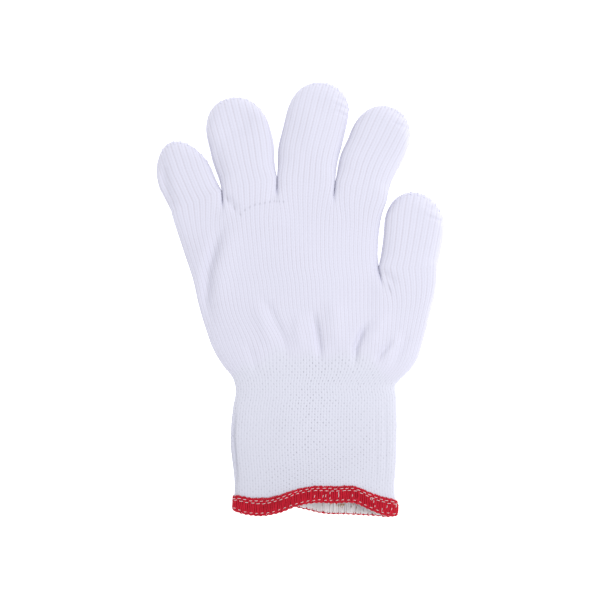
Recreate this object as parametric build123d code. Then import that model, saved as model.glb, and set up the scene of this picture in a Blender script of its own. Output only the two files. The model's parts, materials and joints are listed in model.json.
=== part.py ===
from build123d import *
import math
import os

# A knitted cut resistant work glove, lying flat and empty on a table.
# Fingers point to +Y, the thumb is on the +X side and +Z is up. The origin is on the table,
# under the middle of the palm. All lengths are in millimetres and all angles in degrees.
#
# The glove is knitted as tubes: five finger stalls, an upper palm that the four fingers join,
# a lower palm that the thumb joins, and an elasticated cuff whose end is overlocked.
# Palm and cuff are one rigid body here, and each finger stall swings up from its knuckle line.

# Fabric
KNIT_WALL = 1.2             # thickness of the knitted wall everywhere
HAND_HEIGHT = 13.0          # height of palm and cuff as they lie
HAND_ROUND = 5.6            # rounding along the folded sides of palm and cuff
FINGER_HEIGHT = 11.0        # height of a finger stall as it lies
FINGER_ROUND = 4.8          # rounding along the folded sides of a finger stall

# Clearances
FLEX_GAP = 0.3              # between the palm's edge and the mouth of a finger stall
CROTCH_GAP = 0.25           # each stall stays this far inside the end of its knuckle line
MOUTH_END = 2.0             # from the end of a knuckle line to the open mouth in the palm

# Palm and cuff, along Y
CUFF_TOP = -45.0            # where the cuff's elastic starts
CUFF_END = -113.3           # lower edge of the knitted cuff

# Palm and cuff, along X
CUFF_LEFT = -35.5
CUFF_RIGHT = 50.5

# Knuckle line, from the little finger's outer side to the index finger's outer side
PINKY_OUTER = (-68.2, 46.8)
PINKY_RING_CROTCH = (-41.4, 57.6)
RING_MIDDLE_CROTCH = (-12.2, 65.0)
MIDDLE_INDEX_CROTCH = (18.6, 62.4)
INDEX_OUTER = (46.3, 53.7)
THUMB_CROTCH = (41.8, 17.6)
THUMB_OUTER = (72.8, 16.0)

# Corners of the palm's two long sides between the cuff and the knuckle line
PALM_LEFT = [(-48.0, -24.0), (-57.5, 8.0)]
PALM_LEFT_ROUNDS = [8.0, 45.0, 120.0]       # at the cuff and at each corner
PALM_RIGHT = [(71.5, 0.0), (63.0, -29.0)]
PALM_RIGHT_ROUNDS = [25.0, 18.0, 6.0]       # at each corner and at the cuff
INDEX_SIDE = (41.0, 36.0)                   # palm corner under the index finger
INDEX_SIDE_ROUND = 40.0

# Finger stalls: knuckle line ends, half width at the widest place, sideways offset of that
# place, length from the knuckle line and length of the rounded tip
FINGERS = {
    "pinky": dict(left=PINKY_OUTER, right=PINKY_RING_CROTCH,
                  half=13.9, offset=-0.8, length=34.5, tip=17.5),
    "ring": dict(left=PINKY_RING_CROTCH, right=RING_MIDDLE_CROTCH,
                 half=16.8, offset=0.2, length=46.0, tip=16.8),
    "middle": dict(left=RING_MIDDLE_CROTCH, right=MIDDLE_INDEX_CROTCH,
                   half=16.1, offset=1.4, length=51.0, tip=16.5),
    "index": dict(left=MIDDLE_INDEX_CROTCH, right=INDEX_OUTER,
                  half=15.5, offset=0.7, length=47.0, tip=16.0),
    "thumb": dict(left=THUMB_CROTCH, right=THUMB_OUTER,
                  half=15.7, offset=1.2, length=40.5, tip=15.5),
}

# Closing stitches inside each fingertip
TIP_STITCH_WIDTH = 12.0
TIP_STITCH_DEPTH = 1.6
TIP_STITCH_HEIGHT = 2.4

# Closing stitches inside each crotch
CROTCH_STITCH_DIAMETER = 2.6
CROTCH_STITCH_SETBACK = 0.4         # between them and the wall in front of them

# Course on which lower and upper palm meet, where the thumb crotch's stitches start
THUMB_LEVEL = THUMB_CROTCH[1] - KNIT_WALL - CROTCH_STITCH_SETBACK

# Elastic threads laid inside the cuff
ELASTIC_THREAD = 0.6
ELASTIC_COUNT = 12
ELASTIC_FIRST = 4.0         # from the top of the cuff to the first thread
ELASTIC_PITCH = 4.4

# Overlocked hem, pulled in so far that its threads stay inside the cuff's outer face
HEM_TUCK = 1.5              # how far the cuff's edge is pulled in under the hem
HEM_HEIGHT = 9.6            # height of the thread cover outside
HEM_THREAD = 0.9            # thickness of the thread cover outside and under the edge
HEM_INNER_HEIGHT = 7.5      # height of the thread cover inside
HEM_INNER_THREAD = 0.7      # thickness of the thread cover inside
NEEDLE_THREAD = 0.4         # thickness of a needle thread line
NEEDLE_LINES_UPPER = [1.0, 2.4]     # below the hem's upper edge
NEEDLE_LINE_LOWER = 1.6             # above the hem's lower edge


def knuckle_frame(finger):
    """Middle, sideways direction, lengthwise direction and length of a finger's knuckle line."""
    (x0, y0), (x1, y1) = finger["left"], finger["right"]
    span = math.hypot(x1 - x0, y1 - y0)
    across = ((x1 - x0) / span, (y1 - y0) / span)
    middle = ((x0 + x1) / 2, (y0 + y1) / 2)
    return middle, across, (-across[1], across[0]), span


def knuckle_place(finger):
    """Location on the table at the knuckle line's middle, with X across and Y along the finger."""
    middle, across, _, _ = knuckle_frame(finger)
    return Location((middle[0], middle[1], 0), (0, 0, math.degrees(math.atan2(across[1], across[0]))))


def rounded_block(outline, bottom, top, radius, sides):
    """Outline raised from bottom to top, with the upper and lower edges of its sides rounded."""
    block = extrude(Pos(0, 0, bottom) * outline, top - bottom)
    edges = [e for e in block.edges() if sides(e)]
    return fillet(edges, radius)


def finger_outline(finger, inset):
    """Plan of a stall in its own frame: mouth at the bottom, sides, and a half round tip."""
    _, _, _, span = knuckle_frame(finger)
    root = span / 2 - CROTCH_GAP - inset
    half = finger["half"] - inset
    shift = finger["offset"]
    shoulder = finger["length"] - finger["tip"]
    tip = finger["tip"] - inset
    mouth = FLEX_GAP if inset == 0 else FLEX_GAP - 2 * KNIT_WALL
    left_side = TangentArc((shift - half, shoulder), (-root, mouth), tangent=(0, -1))
    right_side = TangentArc((shift + half, shoulder), (root, mouth), tangent=(0, -1))
    end = EllipticalCenterArc((shift, shoulder), half, tip, arc_size=180)
    return make_face([left_side, Line((-root, mouth), (root, mouth)), right_side, end])


def finger_block(finger, inset):
    """Outer body of a stall for inset 0, or the space inside it for inset KNIT_WALL."""
    outline = finger_outline(finger, inset)
    mouth = outline.bounding_box().min.Y
    low, high = inset, FINGER_HEIGHT - inset

    def on_a_side(edge):
        box = edge.bounding_box()
        flat = box.size.Z < 0.01
        return flat and box.max.Y > mouth + 0.01

    return rounded_block(outline, low, high, FINGER_ROUND - inset, on_a_side)


def finger_stall(finger):
    """Knitted stall: a closed tip, two folded sides and an open mouth at the knuckle line."""
    return finger_block(finger, 0) - finger_block(finger, KNIT_WALL)


def finger_tip_stitches(finger):
    """Bar of closing stitches that lies inside the very end of a stall."""
    reach = finger["length"] - KNIT_WALL
    bar = Pos(finger["offset"], reach - TIP_STITCH_DEPTH, FINGER_HEIGHT / 2) * Box(
        TIP_STITCH_WIDTH, 2 * TIP_STITCH_DEPTH, TIP_STITCH_HEIGHT
    )
    return bar & finger_block(finger, KNIT_WALL)


def hand_sides(inset):
    """The three folded sides of palm and cuff, drawn inset from their outer places."""
    left_top = shifted(PINKY_OUTER, FINGERS["pinky"], inset)
    left = FilletPolyline(
        (CUFF_LEFT + inset, CUFF_END), (CUFF_LEFT + inset, CUFF_TOP),
        *[(x + inset, y) for x, y in PALM_LEFT], left_top, radius=PALM_LEFT_ROUNDS,
    )
    right = FilletPolyline(
        shifted(THUMB_OUTER, FINGERS["thumb"], -inset),
        *[(x - inset, y) for x, y in PALM_RIGHT],
        (CUFF_RIGHT - inset, CUFF_TOP), (CUFF_RIGHT - inset, CUFF_END), radius=PALM_RIGHT_ROUNDS,
    )
    return left, right


def shifted(point, finger, distance):
    """Point moved along a finger's knuckle line."""
    _, across, _, _ = knuckle_frame(finger)
    return (point[0] + across[0] * distance, point[1] + across[1] * distance)


def hand_outline():
    """Plan of palm and cuff together, up to the knuckle line and the thumb's knuckle line."""
    left, right = hand_sides(0)
    index_side = FilletPolyline(INDEX_OUTER, INDEX_SIDE, THUMB_CROTCH, radius=INDEX_SIDE_ROUND)
    knuckles = Polyline(PINKY_OUTER, PINKY_RING_CROTCH, RING_MIDDLE_CROTCH,
                        MIDDLE_INDEX_CROTCH, INDEX_OUTER)
    thumb_mouth = Line(THUMB_CROTCH, THUMB_OUTER)
    cuff_mouth = Line((CUFF_RIGHT, CUFF_END), (CUFF_LEFT, CUFF_END))
    return make_face([left, knuckles, index_side, thumb_mouth, right, cuff_mouth])


def on_a_folded_side(edge, inset):
    """True for a level edge of the hand that lies on a folded side and not on a mouth."""
    box = edge.bounding_box()
    if box.size.Z > 0.01 or box.size.Y < 0.01:
        return False
    centre = edge.center()
    for finger in FINGERS.values():
        middle, across, along, span = knuckle_frame(finger)
        dx, dy = centre.X - middle[0], centre.Y - middle[1]
        away = dx * along[0] + dy * along[1]
        beside = dx * across[0] + dy * across[1]
        if abs(away + inset) < 0.05 and abs(beside) < span / 2:
            return False
    return True


def hand_block():
    """Outer body of palm and cuff."""
    return rounded_block(hand_outline(), 0, HAND_HEIGHT, HAND_ROUND,
                         lambda edge: on_a_folded_side(edge, 0))


def rounded_way(width, middle):
    """Level passage through a mouth, running along Y, as wide as given and rounded like the hand."""
    reach = 3 * KNIT_WALL
    plane = Plane((middle, -reach, HAND_HEIGHT / 2), x_dir=(1, 0, 0), z_dir=(0, -1, 0))
    section = plane * RectangleRounded(width, HAND_HEIGHT - 2 * KNIT_WALL, HAND_ROUND - KNIT_WALL)
    return extrude(section, -2 * reach)


def hand_space():
    """Space inside palm and cuff, one wall inside the hand, running out through every mouth."""
    inside = offset(hand_outline(), -KNIT_WALL, kind=Kind.INTERSECTION)
    space = rounded_block(inside, KNIT_WALL, HAND_HEIGHT - KNIT_WALL, HAND_ROUND - KNIT_WALL,
                          lambda edge: on_a_folded_side(edge, KNIT_WALL))
    cuff_middle = (CUFF_LEFT + CUFF_RIGHT) / 2
    space += Pos(0, CUFF_END, 0) * rounded_way(CUFF_RIGHT - CUFF_LEFT - 2 * KNIT_WALL, cuff_middle)
    for finger in FINGERS.values():
        _, _, _, span = knuckle_frame(finger)
        space += knuckle_place(finger) * rounded_way(span - 2 * MOUTH_END, 0)
    return space


def level_slab(low, high):
    """Everything between two places along Y."""
    wide = 400.0
    return Pos(0, (low + high) / 2, 0) * Box(wide, high - low, wide)


def cuff_section(inset):
    """Upright section of the cuff, drawn in the XZ plane at Y 0."""
    width = CUFF_RIGHT - CUFF_LEFT - 2 * inset
    height = HAND_HEIGHT - 2 * inset
    radius = HAND_ROUND - inset
    centre = ((CUFF_LEFT + CUFF_RIGHT) / 2, 0, HAND_HEIGHT / 2)
    plane = Plane(centre, x_dir=(1, 0, 0), z_dir=(0, -1, 0))
    return plane * RectangleRounded(width, height, radius)


def cuff_band(outer, inner, top, height):
    """Band around the cuff between two insets, running down from top."""
    ring = cuff_section(outer) - cuff_section(inner)
    return Pos(0, top, 0) * extrude(ring, height)


def cuff_elastic():
    """Rubber threads laid against the inside of the cuff, one ring for every few courses."""
    rings = [
        cuff_band(KNIT_WALL, KNIT_WALL + ELASTIC_THREAD,
                  CUFF_TOP - ELASTIC_FIRST - n * ELASTIC_PITCH, ELASTIC_THREAD)
        for n in range(ELASTIC_COUNT)
    ]
    return Compound(children=rings)


def hem_lower_edge():
    """Where the hem ends, one thread below the knit."""
    return CUFF_END - HEM_THREAD


def hem_upper_edge():
    """Where the hem's thread cover starts on the outside."""
    return hem_lower_edge() + HEM_HEIGHT


def tucked_cuff_edge():
    """The cuff's end under the hem: a short step inwards and the pulled-in knit below it."""
    top = hem_upper_edge() + KNIT_WALL
    step = cuff_band(0, HEM_TUCK + KNIT_WALL, top, KNIT_WALL)
    edge = cuff_band(HEM_TUCK, HEM_TUCK + KNIT_WALL, hem_upper_edge(), hem_upper_edge() - CUFF_END)
    return step + edge


def hem_binding():
    """Thread cover of the overlocked edge: outside of the cuff and under its end."""
    outside = cuff_band(HEM_TUCK - HEM_THREAD, HEM_TUCK, hem_upper_edge(), HEM_HEIGHT)
    under = cuff_band(HEM_TUCK, HEM_TUCK + KNIT_WALL, CUFF_END, HEM_THREAD)
    return outside + under


def hem_inner_loops():
    """Looper threads on the inside of the overlocked edge."""
    face = HEM_TUCK + KNIT_WALL
    return cuff_band(face, face + HEM_INNER_THREAD, CUFF_END + HEM_INNER_HEIGHT, HEM_INNER_HEIGHT)


def needle_line(top):
    """One line of needle thread around the hem."""
    face = HEM_TUCK - HEM_THREAD
    return cuff_band(face - NEEDLE_THREAD, face, top, NEEDLE_THREAD)


def crotch_stitches(point, left, right):
    """Pillar of closing stitches between the two walls, behind a crotch."""
    _, _, first, _ = knuckle_frame(left)
    _, _, second, _ = knuckle_frame(right)
    back = (first[0] + second[0], first[1] + second[1])
    reach = KNIT_WALL + CROTCH_STITCH_SETBACK + CROTCH_STITCH_DIAMETER / 2
    scale = reach / math.hypot(*back)
    spot = (point[0] - back[0] * scale, point[1] - back[1] * scale, HAND_HEIGHT / 2)
    return Pos(*spot) * Cylinder(CROTCH_STITCH_DIAMETER / 2, HAND_HEIGHT - 2 * KNIT_WALL)


def hand_parts():
    """Upper palm, lower palm and cuff, cut from one knitted shell at their joining courses."""
    shell = hand_block() - hand_space()
    top = RING_MIDDLE_CROTCH[1] + HAND_HEIGHT
    cuff_tube = shell & level_slab(hem_upper_edge() + KNIT_WALL, CUFF_TOP)
    return {
        "palm_upper": shell & level_slab(THUMB_LEVEL, top),
        "palm_lower": shell & level_slab(CUFF_TOP, THUMB_LEVEL),
        "cuff": cuff_tube + tucked_cuff_edge(),
    }


def build():
    """Every sub-part by node name."""
    parts = hand_parts()
    parts["cuff_elastic"] = cuff_elastic()
    parts["hem_binding"] = hem_binding()
    parts["hem_inner_loops"] = hem_inner_loops()
    parts["hem_needle_threads_upper"] = Compound(
        children=[needle_line(hem_upper_edge() - down) for down in NEEDLE_LINES_UPPER]
    )
    parts["hem_needle_thread_lower"] = needle_line(hem_lower_edge() + NEEDLE_LINE_LOWER)
    crotches = {
        "pinky_ring_crotch": (PINKY_RING_CROTCH, "pinky", "ring"),
        "ring_middle_crotch": (RING_MIDDLE_CROTCH, "ring", "middle"),
        "middle_index_crotch": (MIDDLE_INDEX_CROTCH, "middle", "index"),
        "index_thumb_crotch": (THUMB_CROTCH, "index", "thumb"),
    }
    for name, (point, left, right) in crotches.items():
        parts[name] = crotch_stitches(point, FINGERS[left], FINGERS[right])
    for name, finger in FINGERS.items():
        place = knuckle_place(finger)
        parts[f"{name}_stall"] = place * finger_stall(finger)
        parts[f"{name}_tip_closure"] = place * finger_tip_stitches(finger)
    return parts


os.makedirs("parts", exist_ok=True)
for node, shape in build().items():
    export_step(shape, f"parts/{node}.step")
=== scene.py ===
import bpy
import json
import math
import numpy as np
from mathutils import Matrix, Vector


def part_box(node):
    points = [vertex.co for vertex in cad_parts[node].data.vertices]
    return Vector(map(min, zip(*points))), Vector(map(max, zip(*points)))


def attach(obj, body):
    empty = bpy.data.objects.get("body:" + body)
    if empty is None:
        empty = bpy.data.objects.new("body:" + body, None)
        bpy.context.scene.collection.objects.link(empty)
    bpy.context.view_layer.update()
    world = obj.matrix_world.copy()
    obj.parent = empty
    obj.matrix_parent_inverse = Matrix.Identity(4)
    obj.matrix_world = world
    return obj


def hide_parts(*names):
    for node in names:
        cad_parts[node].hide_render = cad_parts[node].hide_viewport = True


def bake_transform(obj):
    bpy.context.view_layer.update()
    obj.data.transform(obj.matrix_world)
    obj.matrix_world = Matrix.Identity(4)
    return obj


# A white knitted cut resistant glove with a red overlocked hem, lying flat on a pale floor.
# Lengths below are in millimetres in the part's own frame: +X to the thumb, +Y to the
# fingertips, +Z up. They are turned into metres when a mesh is made.
#
# Every knitted piece is a tube laid out as a grid: columns run along the wales (the knit's
# vertical ribs) and rows along its courses. A grid point's place on the glove comes from the
# piece's outline, its height from the tube's section, and the stitches are raised on that.

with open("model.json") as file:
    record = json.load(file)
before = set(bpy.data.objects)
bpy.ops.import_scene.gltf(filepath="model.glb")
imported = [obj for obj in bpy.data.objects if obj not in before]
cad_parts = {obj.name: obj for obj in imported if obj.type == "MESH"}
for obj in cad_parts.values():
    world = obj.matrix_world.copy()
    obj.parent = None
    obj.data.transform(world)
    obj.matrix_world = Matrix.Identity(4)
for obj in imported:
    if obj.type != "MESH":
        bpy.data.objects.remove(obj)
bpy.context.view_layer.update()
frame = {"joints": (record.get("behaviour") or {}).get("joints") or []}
MM = 0.001

# ---------------------------------------------------------------- sizes

WALES = {"pinky": 11, "ring": 12, "middle": 13, "index": 12, "thumb": 12}   # on one side
FOUR = ["pinky", "ring", "middle", "index"]
COLUMNS_PER_WALE = 6
ROWS_PER_COURSE = 3
UNDERSIDE = 200             # added to the wale numbers of the underside
WALL = 1.1                  # thickness of the fabric
LEAST_HEIGHT = 0.02         # no point of the fabric is lower, so that none is under the floor

BED = 0.15                  # the fabric's underside lies this far above the floor
FINGER_UP, FINGER_DOWN = 5.6, 4.9       # from the fold line to a finger's top and underside
HAND_UP, HAND_DOWN = 5.9, 5.0           # the same for palm and cuff
FOLD_Z = BED + HAND_DOWN                # height of the fold lines
ROOT_BOXY = (5.0, 5.0)      # how boxy a finger's section is at its root, over and under
STALL_BOXY = (2.9, 3.2)     # and further along

CUFF_TOP = -45.0            # where the cuff's elastic starts
CUFF_LOW = -112.0           # its lower edge before the hem's wave is laid on it
THUMB_LEVEL = 16.0          # where lower and upper palm meet
CUFF_WIDTH = 88.0           # widths that the wales are spread for
PALM_WIDTH = 110.0
GATHER = 0.045              # how far the elastic pulls the left part's wales inwards, as a share

# Fingers: half width at the widest place, where the rounded tip starts, whole length, roundness
# of the tip, the stretch of the tip's outline where the last course is cast off (in degrees from
# the right), and the centre line's drift to the right as (distance along, drift)
FINGERS = {
    "pinky": dict(half=14.8, tip=12.0, length=34.6, power=1.9, castoff=(150, 16),
                  drift=[(0, 0), (8, -0.7), (24, -1.1), (34, -1.0)]),
    "ring": dict(half=17.0, tip=26.0, length=47.3, power=2.2, castoff=(155, 20),
                 drift=[(0, 0), (10, 0.4), (22, 1.1), (36, 0.8), (47, 0.3)]),
    "middle": dict(half=16.6, tip=33.0, length=52.4, power=2.2, castoff=(150, -3),
                   drift=[(0, 0), (14, 0.1), (26, 1.9), (38, 3.6), (52, 4.3)]),
    "index": dict(half=15.9, tip=27.0, length=47.3, power=2.2, castoff=(150, -3),
                  drift=[(0, 0), (12, -0.7), (24, 0.9), (34, 1.5), (47, 2.0)]),
    "thumb": dict(half=16.0, tip=22.0, length=40.7, power=2.0, castoff=(150, -8),
                  drift=[(0, 0), (7, 1.0), (18, 2.2), (30, 2.0), (40, 1.2)]),
}
COURSE = 1.55               # height of one course in the fingers and palm
CUFF_COURSE = 1.47          # and in the cuff

# Sides of palm and cuff as (y, x)
LEFT_SIDE = [(-116, -35.4), (-99.6, -34.8), (-74, -36.9), (-57, -35.6), (-48.6, -34.2),
             (-44.3, -34.7), (-40, -36.6), (-35.8, -40.2), (-27.3, -45.7), (-14.6, -50.4),
             (-1.9, -54.0), (10.9, -56.9), (23.6, -61.1), (36.4, -65.3), (47, -68.6)]
RIGHT_SIDE = [(-116, 49.6), (-113, 51.0), (-109, 51.5), (-104, 50.6), (-100, 50.2), (-90, 50.9),
              (-70, 51.6), (-52, 51.4), (-44.3, 51.4), (-40, 55.6), (-35.8, 59.6),
              (-31.6, 62.2), (-23, 65.0), (-14.6, 67.3), (-6, 69.5), (4, 72.0), (16, 73.2)]
INDEX_SIDE = [(17.6, 41.4), (26, 41.3), (34, 41.8), (45, 43.5), (53.7, 46.4)]


def lerp(a, b, t):
    return a + (b - a) * t


def smooth(t):
    t = np.clip(t, 0.0, 1.0)
    return t * t * (3 - 2 * t)


def curve(points, at):
    """Smooth curve through (x, y) points, read at the given x (a cubic with averaged slopes)."""
    xs = np.array([p[0] for p in points], float)
    ys = np.array([p[1] for p in points], float)
    slope = np.gradient(ys, xs)
    at = np.clip(np.asarray(at, float), xs[0], xs[-1])
    k = np.clip(np.searchsorted(xs, at) - 1, 0, len(xs) - 2)
    span = xs[k + 1] - xs[k]
    t = (at - xs[k]) / span
    h00, h10 = 2 * t**3 - 3 * t**2 + 1, t**3 - 2 * t**2 + t
    h01, h11 = 1 - h00, t**3 - t**2
    return h00 * ys[k] + h10 * span * slope[k] + h01 * ys[k + 1] + h11 * span * slope[k + 1]


# ---------------------------------------------------------------- knuckle lines, from the joints

def knuckle(name):
    """Middle of a finger's root, and unit directions across and along the finger."""
    joint = next(j for j in frame["joints"] if j["child"] == name)
    middle = np.array(joint["pos_m"][:2]) / MM
    across = np.array(joint["axis"][:2])
    along = np.array([-across[1], across[0]])
    return middle, across, along


# Widths of the fingers' roots, which are the lengths of the knuckle lines
ROOT_SPAN = {"pinky": 28.9, "ring": 30.12, "middle": 30.91, "index": 29.03, "thumb": 31.04}


def root_ends(name):
    """Left and right end of a finger's knuckle line."""
    middle, across, _ = knuckle(name)
    half = ROOT_SPAN[name] / 2
    return middle - across * half, middle + across * half


# ---------------------------------------------------------------- sections

def tube_section(columns, up, down, width, over=3.0, under=3.4):
    """One loop of a flattened tube, by equal steps of arc: across as 0 to 1, and height.

    up and down are the heights over and under the fold line, width is the whole width, and over
    and under say how boxy each side is (2 is an ellipse).
    The loop has 2 * columns points and starts at the left fold, over the top to the right.
    """
    def half(height, power):
        angle = np.linspace(math.pi, 0, 240)
        x = np.sign(np.cos(angle)) * np.abs(np.cos(angle)) ** (2 / power)
        z = np.sin(angle) ** (2 / power) * height
        length = np.concatenate([[0], np.cumsum(np.hypot(np.diff(x) * width / 2, np.diff(z)))])
        steps = np.linspace(0, length[-1], columns + 1)
        return np.interp(steps, length, x), np.interp(steps, length, z)

    xt, zt = half(up, over)
    xb, zb = half(down, under)
    x = np.concatenate([xt, xb[::-1][1:-1]])
    z = np.concatenate([zt, -zb[::-1][1:-1]])
    return (x + 1) / 2, z


def joined_sections(spans, counts, shapes, widths):
    """Several tubes side by side in one loop: spans are their shares of the width."""
    over, under = [], []
    for (a, b), n, (up, down, *boxy), w in zip(spans, counts, shapes, widths):
        p, z = tube_section(n, up, down, w, *boxy)
        loop = np.stack([a + (b - a) * p, z], -1)
        first = 0 if not over else 1
        over += list(loop[:n + 1][first:])
        under += list(np.concatenate([loop[:1], loop[:n:-1], loop[n:n + 1]])[first:])
    loop = np.array(over + under[::-1][1:-1])
    return loop[:, 0], loop[:, 1]


# ---------------------------------------------------------------- folds in the fabric

# Soft folds on the upper side: route, height (below zero is a crease), width. In millimetres.
FOLDS = [
    # the long crease from the little finger's crotch down the palm, and the swell beside it
    ([(-38, 45), (-44, 32), (-48.6, 16), (-49.6, 0), (-46, -18)], -2.3, 3.2),
    ([(-30, 46), (-37, 32), (-42, 16), (-43, 0), (-40, -16)], 0.9, 5.5),
    # gathers where the palm runs into the cuff
    ([(6.5, -3), (8.2, -14), (10.0, -25), (10.8, -35)], -1.7, 2.0),
    ([(37.0, -10), (32.7, -16.5), (29.4, -25), (28.4, -37)], -2.2, 1.8),
    ([(50.0, -20), (44.5, -26), (38.0, -34)], -1.1, 1.7),
    ([(-22, 5), (-15.0, -7), (-9.0, -20), (-5.6, -34)], -0.8, 2.3),
    ([(-26, 2), (-19.5, -12), (-14, -28)], 0.7, 3.4),
    ([(19, 4), (18, -10), (17.5, -28)], 1.2, 5.2),
    ([(47, -6), (40, -16), (34, -28)], 0.9, 3.6),
    ([(54, -16), (49, -24), (43, -34)], 0.7, 2.6),
    ([(0, -4), (-1, -16), (1, -30)], 0.8, 3.4),
    ([(-29, -20), (-25, -30), (-22, -42)], -0.45, 2.4),
    ([(58, -14), (54, -25), (47, -38)], -0.7, 2.4),
    # fingers
    ([(-72.5, 79), (-73, 70), (-70.5, 58), (-66, 45)], -1.9, 2.9),
    ([(-46, 86), (-34, 91), (-21, 98)], -1.1, 5.0),
    ([(-44, 84), (-44, 74), (-40, 62)], -0.6, 3.0),
    ([(8, 104), (5, 90), (4, 74)], 0.4, 5.0),
    # small puckers where the middle finger, the index finger and the thumb are cast off
    ([(17.0, 107.5), (22.0, 106.2), (29.0, 102.6)], -0.7, 0.8),
    ([(15.5, 103.8), (20.5, 102.8), (29.0, 99.4)], -0.7, 0.8),
    ([(17.0, 99.8), (21.5, 98.8), (29.5, 95.4)], -0.6, 0.8),
    ([(47.0, 99.4), (52.2, 98.2), (59.5, 94.8)], -0.6, 0.8),
    ([(46.0, 94.4), (51.3, 92.9), (60.5, 89.8)], -0.7, 0.8),
    ([(64.0, 50.0), (69.0, 48.7), (78.0, 45.6)], -0.7, 0.8),
    ([(65.0, 44.8), (69.9, 43.4), (79.0, 40.2)], -0.7, 0.8),
    # the little finger's join with the palm
    ([(-41, 57), (-36, 50), (-31, 46)], -0.9, 2.2),
    ([(-12, 64), (-13.5, 57), (-17, 50)], -0.6, 2.2),
    ([(42, 17), (46, 12), (52, 8)], -0.7, 2.4),
    # the cuff's left side has rolled a little, and its right side is pressed in pleats
    ([(-33.2, -46), (-35.2, -72), (-33.4, -92), (-33.8, -112)], -1.6, 1.0),
    ([(44.6, -46), (45.2, -75), (44.8, -104)], -0.3, 0.9),
    ([(39.8, -52), (40.2, -78), (39.9, -102)], -0.25, 0.8),
    ([(-2, -46), (-6, -70), (-12, -98)], 0.5, 9.0),
    ([(22, -48), (20, -74), (20, -96)], -0.5, 10.0),
]


def distance_to(route, x, y):
    """Distance of each point from a route, and how far along the route its foot is, 0 to 1."""
    best = np.full(x.shape, 1e9)
    share = np.zeros(x.shape)
    total = sum(math.dist(a, b) for a, b in zip(route, route[1:]))
    done = 0.0
    for (x0, y0), (x1, y1) in zip(route, route[1:]):
        length = math.dist((x0, y0), (x1, y1))
        t = np.clip(((x - x0) * (x1 - x0) + (y - y0) * (y1 - y0)) / length**2, 0, 1)
        d = np.hypot(x - x0 - t * (x1 - x0), y - y0 - t * (y1 - y0))
        nearer = d < best
        best = np.where(nearer, d, best)
        share = np.where(nearer, (done + t * length) / total, share)
        done += length
    return best, share


def folded(points):
    """Adds the folds to a grid's upper side, fading towards its fold lines."""
    x, y, z = points[..., 0], points[..., 1], points[..., 2]
    lift = np.zeros(x.shape)
    for route, height, width in FOLDS:
        d, share = distance_to(route, x, y)
        fade = smooth(np.minimum(share, 1 - share) / 0.38)
        lift += height * np.exp(-(d / width) ** 2) * fade
    lift += 0.3 * np.sin(x * 0.11 + 1.3) * np.sin(y * 0.083 + 0.4)
    top = smooth((z - FOLD_Z) / 3.0)
    points[..., 2] += lift * top
    return points


# ---------------------------------------------------------------- stitches

def elasticated(x, y):
    """0 in the palm to 1 in the cuff: the elastic's first courses arch up in the middle."""
    start = -42.0 + 12.5 * np.exp(-(((x - 4.0) / 36.0) ** 4)) + 1.5 * np.sin(0.36 * x)
    start += 3.5 * np.exp(-(((x + 10.0) / 6.0) ** 2)) + 6.0 * np.exp(-(((x - 32.0) / 8.0) ** 2))
    return smooth((start - y) / 9.0 + 0.5)


def stitch_height(wale, course, cuff):
    """Height of the knit's surface over its mean: ribs of two slanted legs for each wale in the
    palm, and ribs with small staggered holes between them in the cuff."""
    a = np.abs((wale % 1.0) - 0.5)
    b = course % 1.0
    rib = 0.5 + 0.5 * np.cos(2 * np.pi * (wale - 0.5))
    leg = np.exp(-(((a - 0.10 - 0.20 * b) / 0.16) ** 2))
    plain = 0.05 * rib + 0.035 * leg * (0.6 + 0.4 * np.sin(np.pi * b)) - 0.04
    turn = (np.floor(wale + 0.5) + np.floor(course)) % 2
    hole = np.exp(-(((0.5 - a) / 0.22) ** 2) - ((b - 0.5) / 0.28) ** 2)
    elastic = 0.06 * rib - 0.10 * hole * turn - 0.02
    return lerp(plain, elastic, cuff)


# Lines of larger holes where the knitted sections join, as routes in millimetres
JOINS = [
    [(-41.0, 57.2), (-36, 50.0), (-30, 43.5)],
    [(-32, 46.0), (-24, 50.2), (-14, 52.2), (-6, 51.6)],
    [(42.5, 15.5), (46, 8.5), (50.4, 0.5)],
]

# The cuff's left edge, where the roll's flank is in shade: painted shade darkens the colour along
# it
SHADED_EDGE = [(-36.4, -47), (-37.2, -72), (-34.9, -99), (-35.6, -114)]


def holes_and_painted_shade(x, y, wale):
    """How dark the joins' holes (one between each two wales) are, and the painted shade along the
    cuff's left edge, 0 to 1.
    """
    dark = np.zeros(x.shape)
    for route in JOINS:
        d, share = distance_to(route, x, y)
        fade = smooth(np.minimum(share, 1 - share) / 0.12)
        dark = np.maximum(dark, np.exp(-(d / 0.6) ** 2) * fade)
    between = 0.5 + 0.5 * np.cos(2 * np.pi * wale)
    # painted shade along the cuff's left edge, where the roll's flank is in shade
    flank = 0.55 * np.exp(-(distance_to(SHADED_EDGE, x, y)[0] / 1.7) ** 2)
    return np.maximum(dark * between ** 3, flank)


def grid_normals(points):
    """Outward unit normals of a closed grid of rows x columns."""
    around = np.roll(points, -1, axis=1) - np.roll(points, 1, axis=1)
    along = np.gradient(points, axis=0)
    normal = np.cross(around, along)
    length = np.linalg.norm(normal, axis=2, keepdims=True)
    return normal / np.maximum(length, 1e-9)


def flip_out(points, normals):
    """Turns the normals outwards if the grid was laid the other way round."""
    centre = points.mean(axis=1, keepdims=True)
    if ((points - centre) * normals)[..., 2].sum() < 0:
        return -normals
    return normals


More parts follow.
